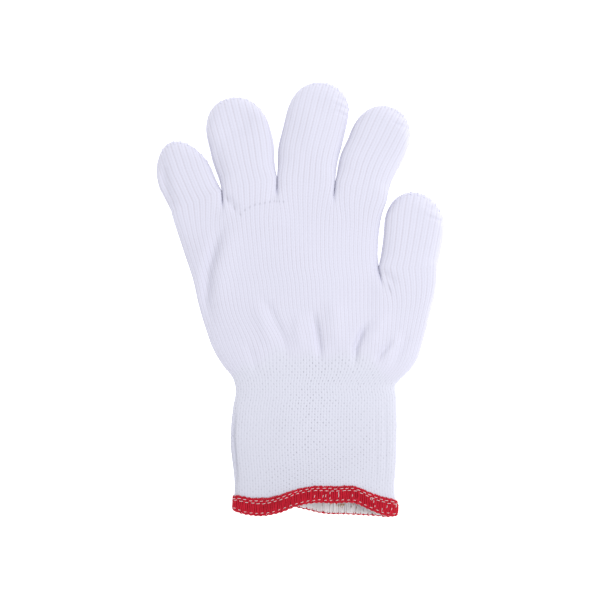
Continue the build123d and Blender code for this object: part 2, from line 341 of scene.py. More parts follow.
class Knit:
    """One knitted tube: its outer grid and what its material needs to know of each point."""

    def __init__(self, name, points, wale, course):
        self.name = name
        self.base = folded(points)
        self.wale, self.course = wale, course
        self.normal = flip_out(self.base, grid_normals(self.base))
        x, y, z = np.moveaxis(self.base, -1, 0)
        self.cuff = elasticated(x, y)
        # the joins' holes, and the painted shade on the cuff's left edge
        self.dark = holes_and_painted_shade(x, y, wale) * smooth((z - FOLD_Z) / 2.0 + 1.0)
        height = stitch_height(wale, course, self.cuff) - 0.12 * self.dark
        self.outside = self.base + self.normal * height[..., None]
        self.outside[..., 2] = np.maximum(self.outside[..., 2], LEAST_HEIGHT)
        self.out_normal = flip_out(self.outside, grid_normals(self.outside))

    def inner(self):
        """The inside of the tube, one wall in and with fewer points."""
        columns, rows = COLUMNS_PER_WALE // 2, ROWS_PER_COURSE
        keep = list(range(0, self.base.shape[0] - 1, rows)) + [self.base.shape[0] - 1]
        inside = (self.base - self.normal * WALL)[keep][:, ::columns]
        marks = [a[keep][:, ::columns] for a in (self.wale, self.course, self.cuff, self.dark)]
        return inside, marks, self.normal[keep][:, ::columns]


def new_object(name, data):
    obj = bpy.data.objects.new(name, data)
    bpy.context.scene.collection.objects.link(obj)
    return obj


def mesh_from_grid(name, points, marks=None, flip=False):
    """A closed tube of quads from a grid of rows x columns, with the knit's coordinates on it."""
    rows, cols = points.shape[:2]
    points[..., 2] = np.maximum(points[..., 2], LEAST_HEIGHT)
    r = np.arange(rows - 1)[:, None]
    c = np.arange(cols)[None, :]
    c2 = (c + 1) % cols
    quads = np.stack([r * cols + c, r * cols + c2, (r + 1) * cols + c2, (r + 1) * cols + c], -1)
    quads = quads.reshape(-1, 4)
    if flip:
        quads = quads[:, ::-1]
    mesh = bpy.data.meshes.new(name)
    mesh.vertices.add(rows * cols)
    mesh.vertices.foreach_set("co", (points.reshape(-1, 3) * MM).astype(np.float32).ravel())
    mesh.loops.add(quads.size)
    mesh.loops.foreach_set("vertex_index", quads.astype(np.int32).ravel())
    mesh.polygons.add(len(quads))
    mesh.polygons.foreach_set("loop_start", np.arange(0, quads.size, 4, dtype=np.int32))
    mesh.polygons.foreach_set("use_smooth", np.ones(len(quads), bool))
    mesh.update(calc_edges=True)
    mesh.validate()
    wale, course, cuff, dark = marks or [np.zeros((rows, cols))] * 4
    data = np.stack([wale, course, cuff], -1).reshape(-1, 3)
    attribute = mesh.attributes.new("knit", "FLOAT_VECTOR", "POINT")
    attribute.data.foreach_set("vector", data.astype(np.float32).ravel())
    # the hole attribute holds the joins' holes and the painted shade on the cuff's left edge
    attribute = mesh.attributes.new("hole", "FLOAT", "POINT")
    attribute.data.foreach_set("value", dark.astype(np.float32).ravel())
    return new_object(name, mesh)


def own_normals(obj, normals):
    """Gives a mesh the vertex normals worked out for it, so that pieces meet with no seam."""
    obj.data.normals_split_custom_set_from_vertices(normals.reshape(-1, 3).tolist())


# ---------------------------------------------------------------- outlines of the pieces

def loop_wales(first, count):
    """Wale number of each column around a loop: first to first+count over the top and back."""
    n = count * COLUMNS_PER_WALE
    over = first + np.arange(n + 1) / COLUMNS_PER_WALE
    under = over[::-1][1:-1] + UNDERSIDE
    return np.concatenate([over, under])


def rows_for(length, course):
    """How many rows a length of knit has, and the number of courses in it."""
    courses = max(2, round(length / course))
    return courses * ROWS_PER_COURSE + 1, courses


def evenly(route, count):
    """A route read at evenly spaced places along it."""
    length = np.concatenate([[0], np.cumsum(np.hypot(*np.diff(route, axis=0).T))])
    at = np.linspace(0, length[-1], count)
    return np.stack([np.interp(at, length, route[:, i]) for i in (0, 1)], -1)


def across_and_along(route, count, by_arc=0.45):
    """A route read partly by even steps along it and partly by even steps across the finger."""
    length = np.concatenate([[0], np.cumsum(np.hypot(*np.diff(route, axis=0).T))])
    even = np.interp(np.linspace(0, length[-1], count), length, route[:, 0])
    stepped = np.maximum.accumulate(route[:, 0]) + np.linspace(0, 1e-6, len(route))
    side = np.linspace(stepped[0], stepped[-1], count)
    at = np.interp(lerp(side, even, by_arc), stepped, length)
    at[0], at[-1] = 0, length[-1]
    return np.stack([np.interp(at, length, route[:, i]) for i in (0, 1)], -1)


def tip_outline(f, degrees):
    """Points (across, along) on a finger's rounded tip at the given angles from the right."""
    angle = np.radians(np.asarray(degrees, float))
    c, s = np.cos(angle), np.maximum(np.sin(angle), 0.0)
    x = np.sign(c) * np.abs(c) ** (2 / f["power"]) * f["half"]
    y = f["tip"] + s ** (2 / f["power"]) * (f["length"] - f["tip"])
    y = y + np.minimum(np.sin(angle), 0.0) * f["half"]
    return np.stack([x + curve(f["drift"], y), y], -1)


def finger_side(f, root, side, stop):
    """A finger's left (-1) or right (1) side, from the root to the cast-off."""
    y = np.linspace(0, f["tip"] + min(0.0, math.sin(math.radians(stop))) * f["half"], 60)
    half = root + (f["half"] - root) * smooth((y - 3.0) / 17.0)
    low = np.stack([side * half + curve(f["drift"], y), y], -1)
    if side > 0 and stop <= 0:
        return low, low[-1:]
    return low, tip_outline(f, np.linspace(180 if side < 0 else 0, stop, 90))


def finger_grid(name):
    """Outer grid of one finger stall, from its root to the cast-off along its tip."""
    f = FINGERS[name]
    middle, across, along = knuckle(name)
    root = ROOT_SPAN[name] / 2
    columns = WALES[name] * COLUMNS_PER_WALE
    rows, courses = rows_for(f["length"], COURSE)
    first, last = f["castoff"]
    left = evenly(np.concatenate(finger_side(f, root, -1, first)), rows)
    right = evenly(np.concatenate(finger_side(f, root, 1, last)), rows)
    closing = across_and_along(tip_outline(f, np.linspace(first, last, 120)), 400)
    chord = evenly(np.array([left[-1], right[-1]]), 400)
    share = np.linspace(0, 1, 400)
    grid = np.zeros((rows, 2 * columns, 3))
    for r in range(rows):
        v = r / (rows - 1)
        width = np.hypot(*(right[r] - left[r]))
        k = float(smooth(v / 0.22))
        boxy = [lerp(a, b, k) for a, b in zip(ROOT_BOXY, STALL_BOXY)]
        p, z = tube_section(columns, FINGER_UP, FINGER_DOWN, width, *boxy)
        bow = np.stack([np.interp(p, share, (closing - chord)[:, i]) for i in (0, 1)], -1)
        uv = left[r] + (right[r] - left[r]) * p[:, None] + bow * v ** 1.6
        grid[r, :, :2] = middle + uv[:, :1] * across + uv[:, 1:] * along
        grid[r, :, 2] = z
    to_end = np.linalg.norm(grid[-1:, :, :2] - grid[:, :, :2], axis=2)
    round_off = np.sqrt(np.maximum(0.0, 1 - (1 - np.minimum(1.0, to_end / 9.0)) ** 2))
    grid[..., 2] = FOLD_Z + grid[..., 2] * np.maximum(round_off, 0.004)
    return grid, courses


def first_wale(name):
    return sum(WALES[n] for n in [*FOUR, "thumb"][:[*FOUR, "thumb"].index(name)])


def hand_profile(grid_rows, base_width, tubes, counts, heights, share, widths, place):
    """Rows of a palm: one wide tube that turns into several tubes at its upper end.

    tubes are the spans of the upper tubes as shares of the width, share(v) says how far the wide
    tube has turned into them, and place(p, v) gives the points' places on the glove.
    """
    total = sum(counts)
    columns = total * COLUMNS_PER_WALE
    p0, z0 = tube_section(columns, HAND_UP, HAND_DOWN, base_width)
    p1, z1 = joined_sections(tubes, [c * COLUMNS_PER_WALE for c in counts], heights, widths)
    valley = np.zeros(p1.shape)
    for _, edge in tubes[:-1]:
        valley = np.maximum(valley, np.exp(-((p1 - edge) / 0.05) ** 2))
    grid = np.zeros((grid_rows, 2 * columns, 3))
    for r in range(grid_rows):
        v = r / (grid_rows - 1)
        grid[r, :, :2] = place(lerp(p0, p1, share(v)), v)
        k = lerp(smooth((v - 0.25) / 0.75), share(v) ** 4, valley)
        grid[r, :, 2] = FOLD_Z + lerp(z0, z1, k)
    return grid


def palm_lower_grid():
    """Lower palm, from the cuff up to the level of the thumb's root."""
    length = THUMB_LEVEL - CUFF_TOP
    rows, courses = rows_for(length, COURSE)
    four = sum(WALES[n] for n in FOUR)
    crotch = four / (four + WALES["thumb"])
    thumb_left, thumb_right = root_ends("thumb")
    left_x = curve(LEFT_SIDE, THUMB_LEVEL)
    seen = (thumb_left[0] - left_x) / (thumb_right[0] - left_x)

    def place(p, v):
        y = CUFF_TOP + length * v
        warped = np.where(p < crotch, p * seen / crotch,
                          seen + (p - crotch) * (1 - seen) / (1 - crotch))
        q = lerp(p, warped, smooth((v - 0.25) / 0.75))
        near_cuff = math.sin(math.pi * min(v * 1.5, 1.0)) ** 2
        q = q + GATHER * np.exp(-((q - 0.27) / 0.15) ** 2) * near_cuff
        left = curve(LEFT_SIDE, y)
        right = lerp(curve(RIGHT_SIDE, y), thumb_right[0], smooth((v - 0.8) / 0.2))
        tent = np.where(p < crotch, p / crotch, 1.0)
        rise = (thumb_left[1] - THUMB_LEVEL) * tent * smooth((v - 0.7) / 0.3)
        return np.stack([left + (right - left) * q, y + rise], -1)

    def share(v):
        return float(smooth((v - 0.66) / 0.34))

    widths = [thumb_left[0] - left_x, ROOT_SPAN["thumb"]]
    heights = [(HAND_UP, HAND_DOWN), (FINGER_UP, FINGER_DOWN, *ROOT_BOXY)]
    grid = hand_profile(rows, PALM_WIDTH, [(0, crotch), (crotch, 1)], [four, WALES["thumb"]],
                        heights, share, widths, place)
    return grid, courses


def palm_upper_grid():
    """Upper palm, from the thumb's crotch up to the four fingers' roots."""
    rows, courses = rows_for(41.0, COURSE)
    counts = [WALES[n] for n in FOUR]
    total = sum(counts)
    marks = np.concatenate([[0], np.cumsum(counts)]) / total
    ends = [root_ends(n) for n in FOUR]
    top = np.array([ends[0][0], ends[1][0], ends[2][0], ends[3][0], ends[3][1]])
    thumb_left = root_ends("thumb")[0]
    low_left = np.array([curve(LEFT_SIDE, THUMB_LEVEL), THUMB_LEVEL])

    def place(p, v):
        t = np.stack([np.interp(p, marks, top[:, i]) for i in (0, 1)], -1)
        b = low_left + (thumb_left - low_left) * p[:, None]
        straight = b + (t - b) * v
        ly = lerp(low_left[1], top[0, 1], v)
        ry = lerp(thumb_left[1], top[-1, 1], v)
        left_off = curve(LEFT_SIDE, ly) - lerp(low_left[0], top[0, 0], v)
        right_off = curve(INDEX_SIDE, ry) - lerp(thumb_left[0], top[-1, 0], v)
        fix = math.sin(math.pi * v) ** 0.5
        straight[:, 0] += (left_off * (1 - p) ** 2 + right_off * p ** 2) * min(1.0, fix * 1.5)
        return straight

    def share(v):
        return float(smooth((v - 0.5) / 0.5))

    spans = list(zip(marks[:-1], marks[1:]))
    heights = [(FINGER_UP, FINGER_DOWN, *ROOT_BOXY)] * len(FOUR)
    width = float(np.hypot(*(thumb_left - low_left)))
    grid = hand_profile(rows, width, spans, counts, heights, share,
                        [ROOT_SPAN[n] for n in FOUR], place)
    return grid, courses


# Lower edges of the cuff's two layers as (x, y): the front one has ridden up to the right
FRONT_EDGE = [(-36, -111.0), (-29, -113.0), (-21, -113.9), (-11, -112.0), (-2, -108.4),
              (7, -106.4), (18, -106.5), (29, -106.6), (37, -110.2), (45, -113.4), (52, -114.0)]
BACK_EDGE = [(-36, -111.0), (-20, -111.4), (-6, -109.4), (3, -111.2), (12, -113.2),
             (26, -113.8), (40, -114.5), (49, -114.8), (52, -114.0)]


def cuff_grid():
    """Cuff, from its elastic's start down to the hem. Its first row is the lower edge."""
    length = CUFF_TOP - CUFF_LOW
    rows, courses = rows_for(length, CUFF_COURSE)
    total = sum(WALES.values())
    columns = total * COLUMNS_PER_WALE
    p, z = tube_section(columns, HAND_UP, HAND_DOWN, CUFF_WIDTH)
    p_hand, z_hand = tube_section(columns, HAND_UP, HAND_DOWN, PALM_WIDTH)
    grid = np.zeros((rows, 2 * columns, 3))
    upper = z > -0.001
    for r in range(rows):
        v = r / (rows - 1)
        y_even = lerp(CUFF_LOW, CUFF_TOP, v)
        left, right = curve(LEFT_SIDE, y_even), curve(RIGHT_SIDE, y_even)
        k = float(smooth((v - 0.9) / 0.1))
        x = left + (right - left) * lerp(p, p_hand, k)
        edge = np.where(upper, curve(FRONT_EDGE, x), curve(BACK_EDGE, x))
        pull = smooth(1 - v / 0.55) * (edge + 1.2 - CUFF_LOW)
        grid[r, :, 0] = x
        grid[r, :, 1] = y_even + pull
        grid[r, :, 2] = FOLD_Z + lerp(z, z_hand, k) + mouth_lift(x, v, z)
    return grid, courses


def mouth_lift(x, v, z):
    """How far the cuff's layers part at its open end: the front arches up on the right."""
    near = np.exp(-(v / 0.22) ** 2)
    arch = 2.4 * np.exp(-((x - 17.0) / 17.0) ** 2) - 2.6 * np.exp(-((x + 20.0) / 11.0) ** 2)
    return arch * smooth(z / 4.0) * near


# ---------------------------------------------------------------- materials

class Material:
    """A new material, with short ways to add nodes to it."""

    def __init__(self, name):
        self.data = bpy.data.materials.new(name)
        self.data.use_nodes = True
        self.tree = self.data.node_tree
        self.shader = self.tree.nodes["Principled BSDF"]

    def put(self, socket, value):
        """Links an output to a socket, or sets the socket to a number or a colour."""
        if isinstance(value, bpy.types.NodeSocket):
            self.tree.links.new(value, socket)
        elif isinstance(value, tuple):
            socket.default_value = (*value, 1)
        else:
            socket.default_value = value

    def node(self, kind, **inputs):
        node = self.tree.nodes.new("ShaderNode" + kind)
        for key, value in inputs.items():
            self.put(node.inputs[key], value)
        return node

    def math(self, operation, *values):
        node = self.node("Math")
        node.operation = operation
        for socket, value in zip(node.inputs, values):
            self.put(socket, value)
        return node.outputs[0]

    def noise(self, place, scale, detail=2.0):
        return self.node("TexNoise", Vector=place, Scale=scale, Detail=detail).outputs[0]

    def mix(self, factor, a, b):
        node = self.node("Mix")
        node.data_type = "RGBA"
        for key, value in (("Factor", factor), ("A", a), ("B", b)):
            self.put(node.inputs[key], value)
        return node.outputs["Result"]

    def attribute(self, name):
        node = self.node("Attribute")
        node.attribute_name = name
        return node.outputs

    def surface(self, colour, height, strength, roughness, specular, sheen):
        """Gives the shader its colour, its fine relief and its gloss."""
        bump = self.node("Bump", Strength=strength, Distance=0.0002, Height=height)
        self.put(self.shader.inputs["Base Color"], colour)
        self.put(self.shader.inputs["Normal"], bump.outputs[0])
        self.shader.inputs["Roughness"].default_value = roughness
        self.shader.inputs["Specular IOR Level"].default_value = specular
        self.shader.inputs["Sheen Weight"].default_value = sheen


def knit_material(name, palm, line, cuff, hole):
    """White yarn: a thin line of painted shade between wales in the palm, small staggered holes in
    the cuff, two slanted legs on each wale with a painted highlight, fine fuzz and soft sheen.

    palm and cuff are the yarn's colours there, line and hole the colours of the gaps, with painted
    shade in them.
    """
    material = Material(name)
    m = material.math
    place = material.node("TexCoord").outputs["Object"]

    def bell(value, width):
        t = m("DIVIDE", value, width)
        return m("EXPONENT", m("MULTIPLY", m("MULTIPLY", t, t), -1.0))

    def noise(scale, detail=2.0):
        return material.noise(place, scale, detail)

    knit = material.node("SeparateXYZ", Vector=material.attribute("knit")["Vector"])
    wale, course, cuffness = knit.outputs
    # the joins' holes and the painted shade on the cuff's left edge
    marked = material.attribute("hole")["Fac"]

    # the palm: lines between the wales, a fainter one up each wale, and the stitches' feet: painted
    # shade in the knit's grooves
    a = m("ABSOLUTE", m("SUBTRACT", m("FRACT", wale), 0.5))
    b = m("FRACT", course)
    edge = m("SUBTRACT", 0.5, a)
    uneven = m("MULTIPLY_ADD", noise(70.0), 1.6, 0.2)
    groove = m("MULTIPLY", bell(edge, 0.085), m("MULTIPLY", uneven, 0.38))
    inner = m("MULTIPLY", bell(a, 0.07), 0.16)
    foot = m("MULTIPLY", bell(edge, 0.16), bell(m("SUBTRACT", b, 0.1), 0.16))
    plain = m("ADD", m("ADD", groove, inner), m("MULTIPLY", foot, 0.14))

    # the cuff: staggered holes of uneven depth, deeper in patches and in the cuff's middle
    rib, row = m("FLOOR", m("ADD", wale, 0.5)), m("FLOOR", course)
    turn = m("MODULO", m("ADD", rib, row), 2.0)
    cell = material.node("CombineXYZ", X=rib, Y=row).outputs[0]
    chance = material.node("TexWhiteNoise", Vector=cell).outputs["Value"]
    across = material.node("SeparateXYZ", Vector=place).outputs[0]
    middle = bell(m("SUBTRACT", across, 0.002), 0.036)
    patch = m("MAXIMUM", m("MULTIPLY_ADD", noise(32.0), 2.4, -0.4), 0.0)
    patch = m("MULTIPLY", patch, m("MULTIPLY_ADD", middle, 1.0, 0.15))
    dot = m("MULTIPLY", bell(edge, 0.19), bell(m("SUBTRACT", b, 0.5), 0.27))
    dot = m("MULTIPLY", dot, m("MULTIPLY_ADD", turn, 0.55, 0.30))
    dot = m("MULTIPLY", dot, m("MULTIPLY_ADD", m("POWER", chance, 2.0), 0.8, 0.45))
    dot = m("MULTIPLY", dot, m("MULTIPLY_ADD", patch, 0.75, 0.2))
    dot = m("ADD", dot, m("MULTIPLY", bell(edge, 0.10), 0.10))

    # how far the colour goes to the gaps' colour: the knit's own gaps and holes, with painted shade
    # in its grooves
    gap_and_shade = m("ADD", m("MULTIPLY", plain, m("SUBTRACT", 1.0, cuffness)),
            m("MULTIPLY", dot, cuffness))
    gap_and_shade = m("MINIMUM", gap_and_shade, 1.0)
    leg = bell(m("SUBTRACT", a, m("MULTIPLY_ADD", b, 0.20, 0.12)), 0.12)
    yarn, dark = material.mix(cuffness, palm, cuff), material.mix(cuffness, line, hole)
    colour = material.mix(gap_and_shade, yarn, dark)
    # mixes the joins' holes and the painted shade of the cuff's left edge into the colour
    colour = material.mix(m("MULTIPLY", marked, 0.55), colour, hole)
    fuzz = noise(1400.0, 3.0)
    # the colour grows darker towards the hem
    darker_to_hem = m("MULTIPLY_ADD", m("MINIMUM", m("DIVIDE", course, 42.0), 1.0), 0.07, 0.91)
    # the stitches' legs are a little lighter, a painted highlight; fuzz and broad noise vary the
    # tone
    shade = m("ADD", m("MULTIPLY_ADD", leg, 0.025, darker_to_hem),
              m("ADD", m("MULTIPLY_ADD", fuzz, 0.06, -0.03),
                m("MULTIPLY_ADD", noise(45.0), 0.03, -0.015)))
    scale = material.node("VectorMath")
    scale.operation = "SCALE"
    material.put(scale.inputs[0], colour)
    material.put(scale.inputs["Scale"], shade)
    height = m("ADD", m("MULTIPLY", leg, 0.6),
               m("ADD", m("MULTIPLY", gap_and_shade, -0.9), m("MULTIPLY", fuzz, 0.5)))
    material.surface(scale.outputs[0], height, 0.35, roughness=0.85, specular=0.25, sheen=0.15)
    material.shader.inputs["Sheen Roughness"].default_value = 0.6
    return material.data


def thread_material(name, colour, dark, roughness=0.75):
    """Textured thread: fine crimps along it and a little change of tone."""
    material = Material(name)
    m = material.math
    place = material.node("TexCoord").outputs["Object"]
    fine = material.noise(place, 900.0, 4.0)
    broad = material.noise(place, 160.0)
    tone = m("ADD", m("MULTIPLY", fine, 1.3), m("MULTIPLY_ADD", broad, 0.8, -0.6))
    tone = m("MINIMUM", m("MAXIMUM", tone, 0.0), 1.0)
    material.surface(material.mix(tone, dark, colour), fine, 0.5, roughness, specular=0.12,
                     sheen=0.05)
    return material.data


# for both knits the line and hole colours are the gaps' own dark with painted shade in them
KNIT = knit_material("knit_yarn", (0.65, 0.65, 0.765), (0.50, 0.463, 0.525),
                     (0.638, 0.646, 0.742), (0.36, 0.355, 0.42))
INSIDE = knit_material("knit_inside", (0.70, 0.68, 0.73), (0.50, 0.48, 0.52),
                       (0.72, 0.70, 0.74), (0.45, 0.42, 0.44))
RED = thread_material("hem_thread", (0.64, 0.014, 0.040), (0.34, 0.006, 0.016))
DEEP_RED = thread_material("hem_ground", (0.55, 0.010, 0.030), (0.42, 0.006, 0.018))
WHITE = thread_material("white_thread", (0.88, 0.86, 0.88), (0.70, 0.67, 0.69))
TAN = thread_material("elastic_core", (0.62, 0.34, 0.14), (0.42, 0.20, 0.08), roughness=0.5)
BAND = thread_material("elastic_band", (0.78, 0.70, 0.62), (0.66, 0.56, 0.47), roughness=0.5)
KNIT_THREAD = thread_material("knit_thread", (0.70, 0.70, 0.83), (0.62, 0.62, 0.74))


# ---------------------------------------------------------------- knitted pieces

def make_knit(knit, node):
    """Outer and inner skin of one knitted tube, in place of the part's own node."""
    marks = (knit.wale, knit.course, knit.cuff, knit.dark)
    obj = mesh_from_grid(knit.name, knit.outside, marks)
    own_normals(obj, knit.out_normal)
    obj.data.materials.append(KNIT)
    inside, marks, normal = knit.inner()
    lining = mesh_from_grid(knit.name + "_inside", inside, marks, flip=True)
    own_normals(lining, -normal)
    lining.data.materials.append(INSIDE)
    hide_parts(node)
    return obj, lining


def grid_coordinates(grid, first, count, courses, start):
    """Wale and course number of each point, from the first wale and the course it starts on."""
    rows = grid.shape[0]
    wale = np.tile(loop_wales(first, count), (rows, 1))
    course = np.tile((start + np.linspace(0, courses, rows))[:, None], (1, grid.shape[1]))
    return wale, course


def sub_loop(total, first, count):
    """Columns of a wide tube's loop that meet the loop of a tube of count wales from first."""
    n = total * COLUMNS_PER_WALE
    a, b = first * COLUMNS_PER_WALE, (first + count) * COLUMNS_PER_WALE
    return [*range(a, b + 1), *[2 * n - c for c in range(b - 1, a, -1)]]


def meet(below, total, first, above, count):
    """The upper edge of one knit and the lower edge of the next get the same normals."""
    columns = sub_loop(total, first, count)
    both = below.out_normal[-1, columns] + above.out_normal[0]
    both /= np.linalg.norm(both, axis=1, keepdims=True)
    below.out_normal[-1, columns] = both
    above.out_normal[0] = both


four_wales = sum(WALES[n] for n in FOUR)
all_wales = sum(WALES.values())

grid, courses = cuff_grid()
cuff_knit = Knit("cuff_knit", grid, *grid_coordinates(grid, 0, all_wales, courses, 0))
palm_start = courses
grid, courses = palm_lower_grid()
lower_knit = Knit("palm_lower_knit", grid,
                  *grid_coordinates(grid, 0, all_wales, courses, palm_start))
upper_start = palm_start + courses
grid, courses = palm_upper_grid()
upper_knit = Knit("palm_upper_knit", grid,
                  *grid_coordinates(grid, 0, four_wales, courses, upper_start))
finger_knits = {}
for name in [*FOUR, "thumb"]:
    finger_start = upper_start + (0 if name == "thumb" else courses)
    grid, own = finger_grid(name)
    finger_knits[name] = Knit(name + "_knit", grid,
                              *grid_coordinates(grid, first_wale(name), WALES[name], own,
                                                finger_start))

meet(cuff_knit, all_wales, 0, lower_knit, all_wales)
meet(lower_knit, all_wales, 0, upper_knit, four_wales)
meet(lower_knit, all_wales, four_wales, finger_knits["thumb"], WALES["thumb"])
for name in FOUR:
    meet(upper_knit, four_wales, first_wale(name), finger_knits[name], WALES[name])

for knit, node in ((cuff_knit, "cuff"), (lower_knit, "palm_lower"), (upper_knit, "palm_upper")):
    for o in make_knit(knit, node):
        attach(o, "palm")

for name, knit in finger_knits.items():
    middle, across, along = knuckle(name)
    for o in make_knit(knit, name + "_stall"):
        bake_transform(o)


# ---------------------------------------------------------------- threads

def threads(name, paths, radius, material, around=None):
    """Many short round threads in one mesh. paths is threads x points x 3, in millimetres.

    around is a direction for each thread that its path never runs along.
    """
    sides = 6
    paths = np.array(paths, float)
    m, n = paths.shape[:2]
    radius = np.broadcast_to(radius, (m, n))
    paths[..., 2] = np.maximum(paths[..., 2], radius)      # threads rest on the floor
    tangent = np.gradient(paths, axis=1)
    tangent /= np.linalg.norm(tangent, axis=2, keepdims=True) + 1e-12
    if around is None:
        around = np.array([0.31, 0.22, 0.92])
    one = np.cross(tangent, np.broadcast_to(around, tangent.shape))
    one /= np.linalg.norm(one, axis=2, keepdims=True) + 1e-12
    two = np.cross(tangent, one)
    angle = np.linspace(0, 2 * math.pi, sides, endpoint=False)
    ring = (np.cos(angle)[:, None] * one[:, :, None] + np.sin(angle)[:, None] * two[:, :, None])
    points = (paths[:, :, None] + ring * radius[..., None, None]).reshape(-1, 3)
    i = np.arange(m)[:, None, None] * n * sides
    j = np.arange(n - 1)[None, :, None] * sides
    k = np.arange(sides)[None, None, :]
    k2 = (k + 1) % sides
    quads = np.stack([i + j + k, i + j + k2, i + j + sides + k2, i + j + sides + k], -1)
    caps = []
    for t in range(m):
        start = t * n * sides
        caps.append(tuple(range(start + sides - 1, start - 1, -1)))
        caps.append(tuple(range(start + (n - 1) * sides, start + n * sides)))
    mesh = bpy.data.meshes.new(name)
    mesh.from_pydata((points * MM).tolist(), [], quads.reshape(-1, 4).tolist() + caps)
    mesh.polygons.foreach_set("use_smooth", np.ones(len(mesh.polygons), bool))
    obj = new_object(name, mesh)
    mesh.materials.append(material)
    return obj


CUFF_COLUMNS = cuff_knit.base.shape[1]
CUFF_ROW = (CUFF_TOP - CUFF_LOW) / (cuff_knit.base.shape[0] - 1)


def on_cuff(turn, up, lift):
    """A point on the cuff: turn is 0 to 1 around it, up its distance over the knit's lower edge
    and lift its distance outwards from the fabric's outer face. Below the edge, up is negative."""
    turn, up, lift = np.broadcast_arrays(np.asarray(turn, float), up, lift)
    column = (turn % 1.0) * CUFF_COLUMNS
    c0 = np.floor(column).astype(int) % CUFF_COLUMNS
    c1 = (c0 + 1) % CUFF_COLUMNS
    tc = (column - np.floor(column))[..., None]
    row = np.clip(up / CUFF_ROW, 0, cuff_knit.base.shape[0] - 2)
    r0 = np.floor(row).astype(int)
    tr = (row - r0)[..., None]

    def read(grid):
        low = grid[r0, c0] * (1 - tc) + grid[r0, c1] * tc
        high = grid[r0 + 1, c0] * (1 - tc) + grid[r0 + 1, c1] * tc
        return low * (1 - tr) + high * tr

    place, normal = read(cuff_knit.base), read(cuff_knit.normal)
    below = np.minimum(up, 0.0)[..., None] * np.array([0.0, 1.0, 0.0])
    return place + below + normal * lift[..., None]


def around_cuff(turn):
    """Direction around the cuff's lower edge at the given turns."""
    step = on_cuff(turn + 0.002, 0.0, 0.0) - on_cuff(turn - 0.002, 0.0, 0.0)
    return (step / np.linalg.norm(step, axis=-1, keepdims=True))[:, None, :]


HEM_WRAPS = 188             # red threads around the hem
HEM_UP = 7.1                # how far the hem reaches up the fabric
HEM_THREAD = 0.52           # radius of a red thread
NEEDLE_STITCHES = 60        # white needle stitches in a row around the hem
NEEDLE_RADIUS = 0.115
FLECKS = 46                 # bits of white thread that show through the red
INNER_STRANDS = 330         # white strands inside the hem
ELASTIC_BITS = 100          # ends of elastic that show between them
dice = np.random.default_rng(7)


def hem_top(turn):
    """How far the hem reaches up the fabric: less at the two folds, where it is rounded."""
    to_fold = np.abs((np.asarray(turn) + 0.25) % 0.5 - 0.25)
    return HEM_UP * (1 - 0.3 * np.exp(-(to_fold / 0.018) ** 2))


def wrap_paths(turns, slant):
    """Threads over the cuff's edge: down the outside, round under the edge and a bit up inside."""
    m = len(turns)
    top = hem_top(turns) + dice.normal(0, 0.22, m)
    out = 0.40 + dice.normal(0, 0.06, m)
    deep = -WALL - 0.35
    outer = [(1.0, 0.25), (0.93, 1.0), (0.72, 1.12), (0.48, 1.1), (0.25, 1.12), (0.06, 1.0)]
    ups = [top * a for a, _ in outer]
    lifts = [out * b for _, b in outer]
    for angle in (30, 70, 110, 150, 185):
        a = math.radians(angle)
        ups.append(np.full(m, -0.35 - 0.95 * math.sin(a)))
        lifts.append(lerp(out, deep, (1 - math.cos(a)) / 2))
    ups, lifts = np.stack(ups, 1), np.stack(lifts, 1)
    lean = np.linspace(slant, -slant, ups.shape[1]) / HEM_WRAPS
    return on_cuff(turns[:, None] + lean, ups, lifts)


def hem_outside():
    """Red threads over the edge, the loops and the purl along it, and the band under them."""
    turns = (np.arange(HEM_WRAPS) + dice.normal(0, 0.10, HEM_WRAPS)) / HEM_WRAPS
    thick = HEM_THREAD * np.array([1, 1, 0.86, 0.8, 0.86, 1, 1, 1, 1, 1, 1])
    binding = threads("hem_binding_threads", wrap_paths(turns, 0.35), thick, RED,
                      around=around_cuff(turns))
    t = turns[:, None] + np.array([0.0, 0.12, 0.5, 0.88, 1.0]) / HEM_WRAPS
    rise = np.array([-0.4, 0.35, 0.75, 0.35, -0.4]) + dice.normal(0, 0.16, (HEM_WRAPS, 1))
    lift = np.array([0.3, 0.5, 0.55, 0.5, 0.3])
    loops = threads("hem_edge_loops", on_cuff(t, hem_top(t) + rise, lift), 0.30, RED)
    n = 760
    turn = np.arange(n + 1) / n
    wave = np.sin(turn * 2 * math.pi * 68)
    purl = on_cuff(turn, -1.35 - 0.30 * wave, -WALL / 2 + 0.55 * np.cos(turn * 2 * math.pi * 68))
    purl = threads("hem_edge_purl", purl[None], 0.36, RED)
    turn, rise = np.meshgrid(np.arange(480) / 480, np.linspace(0, 1, 9))
    ground = on_cuff(turn, lerp(-0.9, hem_top(turn) - 0.15, rise), 0.16)
    ground = mesh_from_grid("hem_binding_ground", ground)
    ground.data.materials.append(DEEP_RED)
    for o in (loops, purl, binding, ground):
        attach(o, "palm")
    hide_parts("hem_binding")


def needle_dashes(name, rows, share, node):
    """Rows of white dashes; a dash takes this share of a stitch."""
    paths = []
    for up in rows:
        start = (np.arange(NEEDLE_STITCHES) + dice.uniform(-0.06, 0.06, NEEDLE_STITCHES)
                 + dice.random()) / NEEDLE_STITCHES
        along = np.linspace(0, share / NEEDLE_STITCHES, 6)
        lift = np.array([0.45, 0.90, 1.06, 1.06, 0.90, 0.45])
        sway = dice.normal(0, 0.10, (NEEDLE_STITCHES, 1)) + np.linspace(-0.1, 0.1, 6)
        turn = start[:, None] + along
        low = up * hem_top(turn) / HEM_UP
        paths.append(on_cuff(turn, low + sway, lift))
    o = threads(name, np.concatenate(paths), NEEDLE_RADIUS, WHITE)
    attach(o, "palm")
    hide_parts(node)


